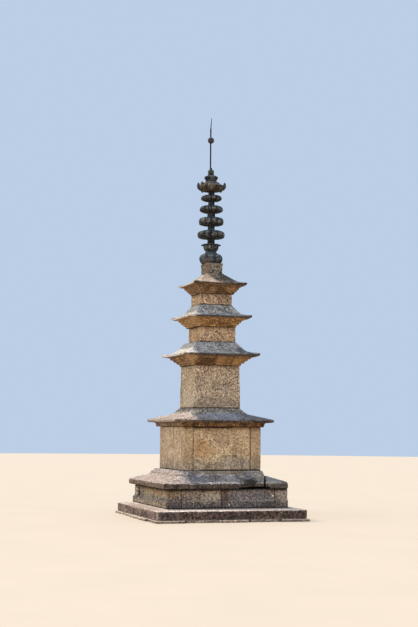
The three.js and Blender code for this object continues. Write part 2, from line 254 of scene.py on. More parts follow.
def cut_away(rough, lumps):
    """Cuts convex lumps, each given by its corners, out of a rough stone. Gives what cuts them."""
    cutters = []
    for points in lumps:
        work = bmesh.new()
        for point in points:
            work.verts.new(point)
        bmesh.ops.convex_hull(work, input=work.verts)
        mesh = bpy.data.meshes.new("cut")
        work.to_mesh(mesh)
        work.free()
        cutters.append(new_object("cut", mesh))
        modifier = rough.modifiers.new("cut", "BOOLEAN")
        modifier.operation = "DIFFERENCE"
        modifier.solver = "EXACT"
        modifier.object = cutters[-1]
    return cutters


def weather(node, slot, finish, grid, most_faces, seed, rough=None, cuts=(), carving=None, **wear):
    """Meshes a rough stone evenly, carves and wears it, and sets it in place of its CAD node."""
    rough = rough or copied(node)
    cutters = cut_away(rough, cuts)
    remesh = rough.modifiers.new("even mesh", "REMESH")
    remesh.mode = "VOXEL"
    remesh.voxel_size = grid
    remesh.use_smooth_shade = True
    if carving:
        run_tree(rough, finish=finish, **carving)
    run_tree(rough, WORN_STONE, grid=grid, seed=seed, finish=finish, **wear)
    worn = new_object("worn " + node, made_mesh(rough))
    for cutter in cutters:
        bpy.data.objects.remove(cutter)
    faces = sum(len(face.vertices) - 2 for face in worn.data.polygons)
    if faces > most_faces:
        fewer = worn.modifiers.new("fewer faces", "DECIMATE")
        fewer.ratio = most_faces / faces
    stone = new_object(node + "_worn", made_mesh(worn))
    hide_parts(node)
    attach(stone, "root")


def weather_all(start, faces, slot, finish, grid, seed, cuts=None, **wear):
    """Weathers the stones whose names begin alike. Faces gives the rest of each name and its budget."""
    for number, (name, most_faces) in enumerate(faces.items()):
        weather(start + name, slot, finish, grid, most_faces, seed + number,
                cuts=(cuts or {}).get(name, ()), **wear)


def tint(colour):
    """A colour as it looks on screen, 0 to 255, made one for a shader. A socket stays as it is."""
    if isinstance(colour, bpy.types.NodeSocket):
        return colour
    parts = [part / 255 for part in colour]
    return (*(part / 12.92 if part < 0.04 else ((part + 0.055) / 1.055) ** 2.4 for part in parts), 1.0)


def blend(tree, share, under, above):
    return add_node(tree, "ShaderNodeMix", {0: share, 6: under, 7: above}, data_type="RGBA")[2]


def brightened(tree, colour, value):
    return add_node(tree, "ShaderNodeHueSaturation", {"Color": colour, "Value": value})[0]


def shader_group(name, inputs, *outputs):
    """A shader node group. A number in inputs makes a float socket, three a vector and four a colour."""
    tree = bpy.data.node_groups.new(name, "ShaderNodeTree")
    add_socket = tree.interface.new_socket
    for label, value in inputs.items():
        kind = {1: "Float", 3: "Vector", 4: "Color"}[len(value) if isinstance(value, tuple) else 1]
        add_socket(label, in_out="INPUT", socket_type="NodeSocket" + kind).default_value = value
    for label in outputs:
        kind = "Color" if label == "Color" else "Float"
        add_socket(label, in_out="OUTPUT", socket_type="NodeSocket" + kind)
    place = tree.nodes.new("ShaderNodeTexCoord").outputs["Object"]
    return tree, tree.nodes.new("NodeGroupInput").outputs, tree.nodes.new("NodeGroupOutput").inputs, place


def use_group(tree, group, **values):
    """The outputs of a shader group, its inputs given by their names."""
    return add_node(tree, "ShaderNodeGroup", titled(values), node_tree=group)


GREY = (0.5, 0.5, 0.5, 1.0)


def granite_group():
    """Granite's body colour: broad patches, a mottle, crystals, light flecks, and the darker specks
    and pits where mica and feldspar have gone."""
    tree, given, result, place = shader_group("granite", {
        "Light": GREY, "Dark": GREY, "Speck": GREY, "Fleck": GREY, "Patch Size": 0.35,
        "Speck Size": 0.044, "Speck Share": 0.9, "Contrast": 2.8}, "Color", "Height")
    patch = rise(tree, clouds(tree, place, given["Patch Size"], 5.0, 0.62), 0.36, 0.64)
    colour = blend(tree, patch, given["Dark"], given["Light"])
    bent, away, luck = cells(tree, place, over(tree, 1.0, given["Speck Size"]), 0.035, 30.0, 3.0)
    chosen = rise(tree, luck["X"], given["Speck Share"], minus(tree, given["Speck Share"], 0.3))
    speck = times(tree, chosen, rise(tree, away, 0.46, 0.2))
    fleck = times(tree, rise(tree, luck["X"], 0.78, 0.92), rise(tree, away, 0.5, 0.2))
    crystals = add_node(tree, "ShaderNodeTexVoronoi", {"Vector": bent, "Scale": 95.0})
    glint = split(tree, crystals["Color"])["Y"]
    grit = clouds(tree, place, 0.02, 4.0, 0.7)
    mottle = swing(tree, place, 0.045, 4.0, 0.7, given["Contrast"])
    value = plus(tree, times(tree, glint, 0.3), times(tree, grit, 1.5), 0.12, mottle)
    flecked = blend(tree, times(tree, fleck, 0.5), brightened(tree, colour, value), given["Fleck"])
    specked = blend(tree, times(tree, speck, 0.8), flecked, given["Speck"])
    tree.links.new(specked, result["Color"])
    tree.links.new(minus(tree, times(tree, value, 0.6), speck), result["Height"])
    return tree


def exposure_group():
    """How a stone lies open: its upper and under sides, its sunny sides (those turned toward the key lamp,
    where the finishes paint sunlight on), its arrises, corners and pits.
    """
    tree, _, result, place = shader_group("exposure", {}, "Up", "Down", "Sunny", "Arris", "Corner", "Pit")
    normal = add_node(tree, "ShaderNodeNewGeometry")["Normal"]
    ragged = calc(tree, "MULTIPLY_ADD", clouds(tree, place, 0.05, 4.0, 0.65), 0.5, -0.25)
    lift = plus(tree, split(tree, normal)["Z"], ragged)
    facing_sun = vector_calc(tree, "DOT_PRODUCT", normal, (-0.71, 0.71, 0.0))
    found = {"Up": rise(tree, lift, 0.3, 0.62), "Down": rise(tree, lift, -0.25, -0.6),
             "Sunny": rise(tree, facing_sun, 0.2, 0.65)}
    for label in ("Arris", "Corner", "Pit"):
        found[label] = add_node(tree, "ShaderNodeAttribute", attribute_name=label.lower())["Fac"]
    for label in ("Arris", "Corner"):
        found[label] = calc(tree, "ADD", found[label], times(tree, ragged, found[label]), clamp=True)
    for label, value in found.items():
        tree.links.new(value, result[label])
    return tree


def grit_group():
    """The fine light and dark of weathered stone, over all that has been laid on it."""
    tree, given, result, place = shader_group(
        "grit", {"Colour": GREY, "Contrast": 3.0, "Size": 0.03}, "Color")
    fine = minus(tree, clouds(tree, place, given["Size"], 3.0, 0.75), 0.5)
    value = calc(tree, "MAXIMUM", calc(tree, "MULTIPLY_ADD", fine, given["Contrast"], 1.0), 0.2)
    tree.links.new(brightened(tree, given["Colour"], value), result["Color"])
    return tree


GRANITE = granite_group()
EXPOSURE = exposure_group()
GRIT = grit_group()


def granite(tree, light, dark, speck, fleck=(222, 206, 184), **sizes):
    """A granite's colour and height, with its sizes given by their names."""
    return use_group(tree, GRANITE, light=tint(light), dark=tint(dark), speck=tint(speck),
                     fleck=tint(fleck), **sizes)


def grain(finish, *colours, **sizes):
    """The colour of another granite, to lay over a finish."""
    return granite(finish["tree"], *colours, **sizes)["Color"]


def begin_finish(name, *colours, **sizes):
    """A new stone material with its body colour. What lies on the stone is then laid over it."""
    material = bpy.data.materials.new(name)
    material.use_nodes = True
    tree = material.node_tree
    tree.nodes.clear()
    body = granite(tree, *colours, **sizes)
    return {"material": material, "tree": tree, "colour": body["Color"], "height": body["Height"],
            "lies": use_group(tree, EXPOSURE)}


def lay_over(finish, colour, strength, *masks):
    """Lays a colour over the finish, up to that strength, where all the masks hold. A name stands for
    that side of the stone, or its opposite after not."""
    tree = finish["tree"]
    share = 1.0
    for mask in masks:
        if isinstance(mask, str):
            side = finish["lies"][mask.split()[-1].title()]
            mask = minus(tree, 1.0, side) if mask.startswith("not ") else side
        share = times(tree, share, mask)
    share = times(tree, share, strength)
    finish["colour"] = blend(tree, share, finish["colour"], tint(colour))


def end_finish(finish, roughness=0.9, grit=4.0):
    """Grit over a finish's colour, relief from its height, and its surface."""
    tree = finish["tree"]
    gritty = use_group(tree, GRIT, colour=finish["colour"], contrast=grit)[0]
    relief = add_node(tree, "ShaderNodeBump", {
        "Strength": 0.5, "Distance": 0.008, "Height": finish["height"]})[0]
    surface = add_node(tree, "ShaderNodeBsdfPrincipled", {
        "Base Color": gritty, "Roughness": roughness, "Normal": relief, "Specular IOR Level": 0.25})[0]
    add_node(tree, "ShaderNodeOutputMaterial", {"Surface": surface})
    return finish["material"]


def drawn(tree, least, most, index, seed):
    """A random number for each index."""
    return add_node(tree, "FunctionNodeRandomValue", {2: least, 3: most, "ID": index, "Seed": seed},
                    data_type="FLOAT")[1]


def lip_stones_tree():
    """One flat slip for each point of a ring: four sides with the same count, random in length and
    reach. The ring is a little wider than the slab, so that its corners close."""
    tree, given, result = open_tree(
        "lip stones", first="Start", slab_half=1.6, least_reach=0.02, most_reach=0.04, slip_depth=0.42,
        slip_height=0.1, side_count=5.0, seed=4.0)
    half = given["Slab Half"]
    overlap = 1.04
    whole = add_node(tree, "FunctionNodeFloatToInt", {0: given["Side Count"]})[0]
    line = add_node(tree, "GeometryNodeMeshLine", {"Count": times(tree, given["Side Count"], 4.0)})[0]
    index = add_node(tree, "GeometryNodeInputIndex")[0]
    side = calc(tree, "FLOOR", over(tree, plus(tree, index, 0.01), whole))
    step = minus(tree, index, times(tree, side, whole))
    seed = add_node(tree, "FunctionNodeFloatToInt", {0: given["Seed"]})[0]
    reach = drawn(tree, given["Least Reach"], given["Most Reach"], index, seed)
    outer = plus(tree, half, reach)
    length = over(tree, times(tree, half, 2.0 * overlap), given["Side Count"])
    along = minus(tree, times(tree, plus(tree, step, 0.5), length), times(tree, half, overlap))
    inset = minus(tree, times(tree, given["Slip Depth"], 0.5), outer)
    spot = vector(tree, along, inset, times(tree, given["Slip Height"], 0.5))
    angle = times(tree, side, math.pi / 2)
    turned = add_node(tree, "ShaderNodeVectorRotate", {"Vector": spot, "Angle": angle},
                      rotation_type="Z_AXIS")[0]
    points = add_node(tree, "GeometryNodeSetPosition", {"Geometry": line, "Position": turned})[0]
    share = drawn(tree, 0.86, 0.99, index, plus(tree, seed, 1.0))
    size = vector(tree, times(tree, length, share), given["Slip Depth"], given["Slip Height"])
    slip = add_node(tree, "GeometryNodeMeshCube", {"Size": (1.0, 1.0, 1.0)})[0]
    turn = add_node(tree, "FunctionNodeEulerToRotation", {0: vector(tree, 0.0, 0.0, angle)})[0]
    slips = add_node(tree, "GeometryNodeInstanceOnPoints", {
        "Points": points, "Instance": slip, "Rotation": turn, "Scale": size})[0]
    return close_tree(tree, given, result, slips)


lip_finish = begin_finish("foundation stone", (168, 150, 134), (118, 102, 90), (78, 64, 54))
lay_over(lip_finish, (190, 174, 156), 0.75, "up")
# Painted shade, with some dirt, darkens the inner corners.
lay_over(lip_finish, (56, 46, 38), 0.8, "corner")
FOUNDATION_STONE = end_finish(lip_finish)

slab_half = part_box("ground_slab_front")[1].x
foundation_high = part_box("foundation_course")[1]
lip = new_object("rough lip", bpy.data.meshes.new("rough lip"))
run_tree(lip, lip_stones_tree(), slab_half=slab_half, most_reach=foundation_high.x - slab_half,
         slip_height=foundation_high.z, finish=FOUNDATION_STONE)
weather("foundation_course", "ground_granite", FOUNDATION_STONE, 0.011, 34000, 3.0, rough=lip,
        hidden_half=slab_half - 0.02, rounding=0.014, wave_depth=0.012, wave_size=0.12, pit_depth=0.003,
        pit_size=0.05)


# Ground slab
# Four long granite stones round a core of rubble, their tops shedding water outwards. Split and
# roughly dressed, laid dry on the foundation, with chipped arrises and dark stained faces.

def streaks_group():
    """Stains that rain has drawn down a face, wider and more broken with Width."""
    tree, given, result, place = shader_group(
        "streaks", {"Width": 0.05, "Length": 0.8, "Share": 0.5}, "Mask")
    squeeze = vector(tree, 1.0, 1.0, over(tree, given["Width"], given["Length"]))
    lines = clouds(tree, vector_calc(tree, "MULTIPLY", place, squeeze), given["Width"], 3.0, 0.6)
    broken = clouds(tree, place, 0.3, 3.0)
    mixed = plus(tree, times(tree, lines, 0.72), times(tree, broken, 0.28))
    low = minus(tree, 0.62, times(tree, given["Share"], 0.2))
    tree.links.new(rise(tree, mixed, low, plus(tree, low, 0.12)), result["Mask"])
    return tree


def blotch_group():
    """A ragged patch round one place on the tower, of any reach along X, Y and Z."""
    tree, given, result, place = shader_group(
        "blotch", {"Centre": (0.0, 0.0, 0.0), "Reach": (0.1, 0.1, 0.1), "Ragged": 0.6}, "Mask")
    from_centre = vector_calc(tree, "SUBTRACT", place, given["Centre"])
    away = vector_calc(tree, "LENGTH", vector_calc(tree, "DIVIDE", from_centre, given["Reach"]))
    wander = swing(tree, place, 0.1, 5.0, 0.65, times(tree, given["Ragged"], 4.0))
    tree.links.new(rise(tree, plus(tree, away, wander), 1.2, 0.6), result["Mask"])
    return tree


STREAKS = streaks_group()
BLOTCH = blotch_group()


def streaks(finish, width, length, share):
    return use_group(finish["tree"], STREAKS, width=width, length=length, share=share)["Mask"]


def blotches(finish, *patches):
    """Lays patches on a finish. Each has its centre, its reach, its colour and its strength."""
    for centre, reach, colour, strength in patches:
        mask = use_group(finish["tree"], BLOTCH, centre=centre, reach=reach)["Mask"]
        lay_over(finish, colour, strength, mask)


def on_front(face, *patches):
    """Patches on a front face at that Y: each its X and Z, its reach along them, and its look."""
    return [((x, face, z), (wide, 0.1, high), *look) for x, z, wide, high, *look in patches]


def on_left(face, *patches):
    """Patches on a left face at that X: each its Y and Z, its reach along them, and its look."""
    return [((face, y, z), (0.1, wide, high), *look) for y, z, wide, high, *look in patches]


slab = begin_finish("ground slab stone", (98, 80, 71), (66, 54, 49), (32, 25, 23), (166, 150, 136),
                    patch_size=0.25, contrast=4.4)
# Painted sunlight: a lighter copy of the grain on the sides that face the key lamp.
painted_sunlit_slab = grain(slab, (118, 98, 89), (78, 64, 57), (44, 35, 31), (170, 154, 140), patch_size=0.18,
                   contrast=4.4)
lay_over(slab, painted_sunlit_slab, 1.0, "sunny")
lay_over(slab, (44, 34, 31), 0.6, streaks(slab, 0.045, 0.5, 0.35))
lay_over(slab, (140, 126, 116), 0.5, streaks(slab, 0.03, 0.4, 0.1))
# Light streak stains laid only on the sunny sides, where they also stand for painted sunlight.
lay_over(slab, (168, 148, 136), 0.55, "sunny", streaks(slab, 0.07, 0.35, 0.45))
blotches(slab, *on_front(-1.62, (-1.30, 0.12, 0.36, 0.14, (118, 106, 98), 0.4),
                         (0.60, 0.12, 1.00, 0.14, (64, 52, 46), 0.3)))
lay_over(slab, (196, 182, 168), 0.5, "arris")
lay_over(slab, (206, 190, 178), 0.85, "up")
blotches(slab, ((-1.50, -0.20, 0.24), (0.22, 1.7, 0.05), (136, 118, 104), 0.75))
# Painted shade, with some dirt, darkens the inner corners and the pits.
lay_over(slab, (40, 31, 28), 0.8, "corner")
lay_over(slab, (40, 31, 28), 0.5, "pit")
GROUND_SLAB_STONE = end_finish(slab, grit=5.5)

wall_half = -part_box("lower_wall_front_left")[0].y
slab_faces = dict.fromkeys(("front", "back", "left", "right"), 26000)
weather_all("ground_slab_", slab_faces, "ground_granite", GROUND_SLAB_STONE, 0.013, 11.0,
            hidden_half=wall_half - 0.01, chip_depth=0.018, chip_size=0.11, wave_size=0.35,
            pit_depth=0.005)


# Lower platform walls
# Wall stones on edge round a fill of rubble, each cut with its base moulding, corner posts and one
# inner post a side. Dressed granite, laid dry: ochre above and stained grey to black near the foot.

def stain_group():
    """A ragged band between two heights, full from Full to Full and gone at Gone."""
    tree, given, result, place = shader_group(
        "stain by height", {"Full": 0.3, "Gone": 0.5, "Ragged": 0.1}, "Mask")
    wander = swing(tree, place, 0.14, 5.0, 0.62, times(tree, given["Ragged"], 3.0))
    height = plus(tree, split(tree, place)["Z"], wander)
    tree.links.new(rise(tree, height, given["Gone"], given["Full"]), result["Mask"])
    return tree


STAIN = stain_group()


def stain(finish, full, gone, ragged):
    """Where the stone is stained on one side of a height: all of it at full, none of it at gone."""
    return use_group(finish["tree"], STAIN, full=full, gone=gone, ragged=ragged)["Mask"]


def lump(x, y, z):
    """The eight corners of a box, from three pairs of limits."""
    return [(a, b, c) for a in x for b in y for c in z]


def front_slot(low_x, high_x, face, height, thick=0.019):
    """An open joint in a front face, thick upwards from its height, or downwards if it is negative."""
    start = height - math.copysign(0.004, thick)
    return lump((low_x, high_x), (-face - 0.02, 0.05 - face), (start, height + thick))


def upright_slot(place, low_z, high_z, face, thick, deep=0.03):
    """An open upright joint in a front face, thick to the right of its place, or left if negative."""
    return lump((place, place + thick), (-face - 0.02, deep - face), (low_z, high_z))


wall_foot, wall_top = (corner.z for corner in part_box("lower_wall_left"))
wall = begin_finish("lower wall stone", (158, 140, 121), (116, 103, 94), (48, 39, 34), patch_size=0.24,
                    contrast=4.0)
# Painted sunlight: a lighter copy of the grain on the sides that face the key lamp.
painted_sunlit_wall = grain(wall, (170, 153, 130), (128, 113, 96), (58, 46, 37), patch_size=0.2, contrast=4.0)
lay_over(wall, painted_sunlit_wall, 1.0, "sunny")
lay_over(wall, (92, 80, 74), 0.5, streaks(wall, 0.05, 0.4, 0.4))
lay_over(wall, (130, 96, 58), 0.5, stain(wall, 0.60, 0.50, 0.06), streaks(wall, 0.2, 0.3, 0.9))
wall_front = -1.26
blotches(
    wall,
    *on_front(
        wall_front,
        (-1.12, 0.55, 0.15, 0.08, (142, 112, 74), 0.5),
        (-0.34, 0.50, 0.22, 0.15, (178, 160, 138), 0.6),
        (-0.78, 0.50, 0.22, 0.14, (108, 90, 82), 0.4),
        (-0.07, 0.45, 0.07, 0.25, (74, 54, 40), 0.7),
        (0.45, 0.46, 0.50, 0.24, (112, 106, 112), 0.6),
        (1.13, 0.50, 0.14, 0.20, (156, 142, 130), 0.7)),
    *on_left(
        -1.29,
        (-0.45, 0.53, 0.60, 0.07, (174, 138, 84), 0.45),
        (0.40, 0.50, 0.50, 0.09, (156, 146, 112), 0.5),
        (0.00, 0.60, 1.40, 0.05, (118, 86, 46), 0.6)),
)
stained_foot = grain(wall, (108, 99, 97), (76, 69, 68), (40, 34, 33), (150, 138, 128), contrast=4.0)
lay_over(wall, stained_foot, 0.8, stain(wall, 0.33, 0.43, 0.09), "not sunny")
blotches(wall, ((-1.18, -1.28, 0.33), (0.24, 0.1, 0.09), (66, 57, 56), 0.45))
lay_over(wall, (170, 154, 136), 0.5, "up")
lay_over(wall, (170, 152, 132), 0.2, "arris")
# Painted shade, with some dirt, darkens the inner corners and the pits.
lay_over(wall, (44, 34, 29), 0.8, "corner")
lay_over(wall, (48, 38, 32), 0.6, "pit")
# Painted shadow, with some dirt, darkens the top of the walls under the overhanging rim of the cover.
lay_over(wall, (34, 24, 17), 0.85, stain(wall, wall_top - 0.02, wall_top - 0.075, 0.02))
lay_over(wall, (38, 29, 25), 0.8, stain(wall, wall_foot + 0.012, wall_foot + 0.03, 0.01))
blotches(
    wall,
    *on_front(
        wall_front,
        (0.36, 0.365, 0.022, 0.022, (20, 17, 16), 1.0),
        (0.935, 0.486, 0.016, 0.016, (228, 222, 212), 0.9),
        (0.003, 0.325, 0.013, 0.03, (228, 222, 212), 0.9),
        (-0.150, 0.450, 0.018, 0.24, (60, 48, 42), 0.5),
        (0.57, 0.592, 0.32, 0.024, (120, 110, 106), 0.6),
        # Painted shadow on the wall's top under the open joint of the slid cover slab.
        (0.50, 0.634, 0.36, 0.012, (10, 8, 7), 0.9)),
    *on_left(-1.27, (0.62, 0.43, 0.05, 0.13, (58, 48, 40), 0.6)),
    *on_left(-1.24, (0.93, 0.46, 0.08, 0.13, (52, 45, 40), 0.6)),
)
LOWER_WALL_STONE = end_finish(wall, grit=4.5)

gap_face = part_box("lower_wall_left")[0].x - 0.02
wall_cuts = {
    "left": [lump((gap_face, -1.19), (0.897, 0.965), (0.385, 0.575)),
             lump((gap_face, -1.225), (0.60, 0.622), (0.40, wall_top + 0.01))],
    "front_left": [upright_slot(-0.984, wall_foot + 0.02, wall_top, wall_half, 0.022, 0.045)],
    "front_right": [
        [(x, y, z) for x, z in ((0.905, 0.592), (0.975, 0.60), (0.985, 0.50), (0.955, 0.49))
         for y in (-wall_half - 0.02, -1.215)],
        upright_slot(0.985, 0.40, wall_top, wall_half, -0.014)],
}
lower_walls = ("left", "right", "front_left", "front_right", "back_left", "back_right")
weather_all("lower_wall_", dict.fromkeys(lower_walls, 26000), "platform_granite", LOWER_WALL_STONE,
            0.012, 21.0, wall_cuts, hidden_half=wall_half - 0.325, rounding=0.010, chip_depth=0.020,
            chip_size=0.10, wave_depth=0.008, wave_size=0.3, pit_size=0.06)


# Lower cover
# Sloped granite slabs over the wall stones, with a two-tier seat for the upper platform. The right
# pair has slid outwards, and the long front rim is worn round by water and frost.

cover = begin_finish("lower cover stone", (174, 166, 160), (122, 117, 117), (58, 52, 51), patch_size=0.2,
                     contrast=3.8)
lay_over(cover, (86, 79, 78), 0.5, streaks(cover, 0.07, 0.3, 0.3))
# Painted sunlight: a lighter copy of the grain over the left part of the cover, where the key lamp falls.
painted_sunlit_cover = grain(cover, (168, 150, 138), (138, 122, 111), (92, 77, 68), (206, 190, 178),
                    speck_share=0.5, contrast=3.4)
blotches(
    cover,
    ((-1.25, -0.40, 0.85), (0.42, 1.9, 0.5), painted_sunlit_cover, 0.9),
    ((-0.60, -1.15, 0.80), (0.22, 0.3, 0.2), (100, 104, 114), 0.5),
    ((-1.00, -1.24, 0.80), (0.16, 0.12, 0.06), (116, 104, 104), 0.5),
    ((0.12, -1.15, 0.80), (0.13, 0.3, 0.2), (178, 170, 170), 0.6),
    ((0.72, -1.10, 0.82), (0.10, 0.3, 0.2), (158, 146, 124), 0.6),
    ((1.02, -1.05, 0.80), (0.26, 0.5, 0.2), (152, 150, 142), 0.55),
    ((0.43, -1.22, 0.78), (0.30, 0.24, 0.12), (66, 56, 52), 0.55),
    ((0.45, -1.27, 0.77), (0.20, 0.14, 0.07), (38, 30, 26), 0.85),
)
rim_top = 0.775
lower_rim = ("not up", stain(cover, rim_top - 0.02, rim_top, 0.005))
rim_grain = grain(cover, (84, 68, 55), (46, 37, 30), (24, 19, 16), (132, 114, 98), patch_size=0.14,
                  contrast=5.0)
# The rim's dark grain goes on the shaded sides, and a lighter copy on the sunny sides as painted sunlight.
painted_sunlit_rim = grain(cover, (124, 100, 81), (93, 74, 59), (52, 40, 31), contrast=4.4)
lay_over(cover, rim_grain, 0.92, *lower_rim, "not sunny")
lay_over(cover, painted_sunlit_rim, 0.9, *lower_rim, "sunny")
blotches(
    cover,
    ((1.10, -1.33, 0.71), (0.34, 0.1, 0.07), (112, 104, 98), 0.35),
    ((0.46, -1.33, 0.72), (0.10, 0.12, 0.07), (26, 21, 19), 0.85),
    ((1.20, -1.24, 0.73), (0.10, 0.2, 0.07), (62, 51, 44), 0.5),
    ((0.00, -0.95, 0.95), (0.80, 0.1, 0.05), (148, 124, 84), 0.5),
)
lay_over(cover, (170, 156, 142), 0.15, "arris")
# Painted shade, with some dirt, darkens the inner corners and the pits.
lay_over(cover, (50, 42, 38), 0.75, "corner")
lay_over(cover, (54, 46, 42), 0.5, "pit")
lay_over(cover, (24, 18, 15), 0.8, stain(cover, wall_top + 0.008, wall_top + 0.016, 0.003))
# Painted shadow inside the open joint under the slid front slab.
blotches(cover, ((0.58, -1.25, wall_top + 0.02), (0.34, 0.2, 0.03), (14, 12, 11), 0.95))
LOWER_COVER_STONE = end_finish(cover, grit=3.5)

seat_half = -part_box("upper_wall_front")[0].y
cover_cuts = {
    "front": [lump((0.19, 0.40), (-1.36, -1.18), (wall_top - 0.01, wall_top + 0.026)),
              lump((0.38, 0.90), (-1.36, -1.14), (wall_top - 0.01, wall_top + 0.042))],
    "right_front": [lump((0.70, 0.86), (-1.36, -1.16), (wall_top - 0.01, wall_top + 0.034))],
}
cover_faces = {"front": 32000, "back": 32000, "right_front": 14000, "right_back": 14000}
weather_all("lower_cover_", cover_faces, "platform_granite", LOWER_COVER_STONE, 0.013, 31.0, cover_cuts,
            hidden_half=seat_half - 0.01, rounding=0.010, chip_depth=0.022, chip_size=0.13,
            wave_depth=0.008, wave_size=0.28, pit_size=0.06)


# Upper platform walls
# Tall wall slabs round a fill of rubble. The side slabs' ends show on the front and back as corner
# posts, and the slab between them has a faint post cut in its middle. Warm, pitted granite.

upper_foot, upper_top = (corner.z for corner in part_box("upper_wall_front"))
upper = begin_finish("upper wall stone", (214, 185, 146), (180, 151, 117), (100, 76, 54), patch_size=0.3,
                     contrast=2.2)
# Painted sunlight: a lighter copy of the grain on the sides that face the key lamp.
painted_sunlit_upper = grain(upper, (208, 184, 152), (184, 158, 127), (116, 91, 67), speck_share=0.75,
                    contrast=3.6)
lay_over(upper, painted_sunlit_upper, 1.0, "sunny")
lay_over(upper, (206, 164, 110), 0.35, streaks(upper, 0.06, 0.7, 0.35))
upper_front = -0.83
blotches(
    upper,
    *on_front(
        upper_front,
        (-0.42, 1.40, 0.26, 0.22, (190, 136, 76), 0.35),
        (-0.06, 1.53, 0.12, 0.12, (160, 132, 106), 0.4),
        (-0.80, 1.40, 0.17, 0.60, (176, 148, 112), 0.6),
        (0.74, 1.40, 0.12, 0.60, (172, 142, 110), 0.6)),
    *on_left(-0.83, (0.60, 1.45, 0.30, 0.60, (168, 140, 108), 0.6)),
    *on_left(-0.84, (-0.755, 1.42, 0.022, 0.60, (112, 84, 58), 0.65)),
)
greyed = grain(upper, (180, 164, 142), (140, 125, 108), (84, 70, 57))
lay_over(upper, greyed, 0.65, stain(upper, 1.04, 1.28, 0.08))
blotches(upper, *on_front(upper_front, (0.26, 1.14, 0.38, 0.14, greyed, 0.65),
                          (0.74, 1.12, 0.12, 0.20, (132, 110, 86), 0.5)))
# A brown stain along the top, laid only on the shaded sides, where it also stands for painted shade under
# the cover's overhang.
lay_over(upper, (114, 70, 28), 0.7, stain(upper, upper_top, upper_top - 0.12, 0.05), "not sunny")
lay_over(upper, (214, 190, 156), 0.15, "arris")
# Painted shade, with some dirt, darkens the inner corners and the pits.
lay_over(upper, (66, 46, 32), 0.85, "corner")
lay_over(upper, (92, 66, 45), 0.6, "pit")
lay_over(upper, (52, 38, 29), 0.8, stain(upper, upper_foot + 0.006, upper_foot + 0.024, 0.008))
UPPER_WALL_STONE = end_finish(upper, grit=1.8)

upper_cuts = {
    "left_front": [lump((-0.86, -0.805), (-0.14, -0.125), (upper_foot + 0.02, upper_top))],
    "front": [front_slot(-0.466, 0.62, seat_half, upper_foot),
              front_slot(-0.609, 0.218, seat_half, upper_top, -0.017),
              upright_slot(-0.62, upper_foot, upper_top, seat_half, 0.021, 0.04),
              upright_slot(0.62, upper_foot, upper_top, seat_half, -0.022, 0.04)],
    "right_front": [front_slot(0.60, 0.793, seat_half, upper_foot)],
}
upper_walls = ("left_front", "left_back", "right_front", "right_back", "front", "back")
weather_all("upper_wall_", dict.fromkeys(upper_walls, 27000), "tower_granite", UPPER_WALL_STONE,
            0.012, 41.0, upper_cuts, hidden_half=seat_half - 0.25, chip_depth=0.014, wave_depth=0.005,
            wave_size=0.35)


# Upper cover
# Two sloped granite slabs that close the platform, with an under-step over the walls, a rim and
# three small tiers that seat the first body. Lichen greys the slopes, and rain the rim.

top_cover = begin_finish("upper cover stone", (162, 158, 158), (116, 114, 117), (60, 56, 56),
                         patch_size=0.16)
lay_over(top_cover, (84, 82, 84), 0.5, streaks(top_cover, 0.06, 0.3, 0.3))
# Painted sunlight: a lighter copy of the grain over the left part of the slopes, where the key lamp falls.
painted_sunlit_top = grain(top_cover, (176, 159, 145), (140, 124, 111), (92, 76, 66), (206, 192, 178),
                  speck_share=0.5, contrast=4.0)
blotches(
    top_cover,
    ((-0.95, -0.30, 2.05), (0.42, 1.6, 0.4), painted_sunlit_top, 0.95),
    ((0.75, -0.75, 2.08), (0.35, 0.3, 0.2), (96, 96, 98), 0.5),
    ((0.05, -0.75, 2.08), (0.35, 0.3, 0.2), (158, 164, 178), 0.4),
)
step_top, top_rim_top, tiers_foot = 1.94, 2.015, 2.125
tiers = grain(top_cover, (150, 139, 119), (112, 103, 89), (58, 51, 44))
lay_over(top_cover, tiers, 0.75, stain(top_cover, tiers_foot + 0.03, tiers_foot, 0.01))
blotches(top_cover, ((-0.53, -0.56, 2.17), (0.13, 0.1, 0.05), (206, 188, 168), 0.7))
top_rim = ("not up", stain(top_cover, top_rim_top - 0.01, top_rim_top, 0.003))
top_rim_grain = grain(top_cover, (92, 66, 44), (54, 39, 26), (30, 21, 15), (146, 122, 96), contrast=4.4)
# Painted shade: a darker band along the rim's top edge, only on the sides away from the key lamp.
rim_top_painted_shade = stain(top_cover, top_rim_top - 0.003, top_rim_top + 0.015, 0.006)
lay_over(top_cover, (58, 48, 40), 0.25, rim_top_painted_shade, "not sunny")
# The rim's dark grain goes on the shaded sides, and a lighter tint on the sunny sides as painted sunlight.
lay_over(top_cover, top_rim_grain, 0.92, *top_rim, "not sunny")
lay_over(top_cover, (140, 120, 104), 0.5, *top_rim, "sunny")
# The under-step's orange-brown patina, darkened on the shaded sides as painted shade under the rim, with a
# lighter copy on the sunny sides as painted sunlight.
under_step_patina_and_shade = grain(top_cover, (144, 107, 67), (80, 57, 34), (40, 28, 18), patch_size=0.12, contrast=4.4)
painted_sunlit_step = grain(top_cover, (160, 130, 98), (122, 96, 70), (74, 56, 39))
blotches(top_cover, ((-0.90, -1.12, 1.98), (0.30, 0.1, 0.06), (164, 146, 130), 0.5))
step_zone = stain(top_cover, step_top - 0.015, step_top, 0.003)
lay_over(top_cover, under_step_patina_and_shade, 1.0, step_zone, "not sunny")
lay_over(top_cover, painted_sunlit_step, 1.0, step_zone, "sunny")
lay_over(top_cover, (40, 28, 19), 0.75, stain(top_cover, upper_top + 0.01, upper_top + 0.024, 0.006))
# Painted shade, with some dirt, darkens the inner corners and the pits.
lay_over(top_cover, (50, 40, 33), 0.8, "corner")
lay_over(top_cover, (56, 47, 41), 0.5, "pit")
UPPER_COVER_STONE = end_finish(top_cover, grit=3.5)

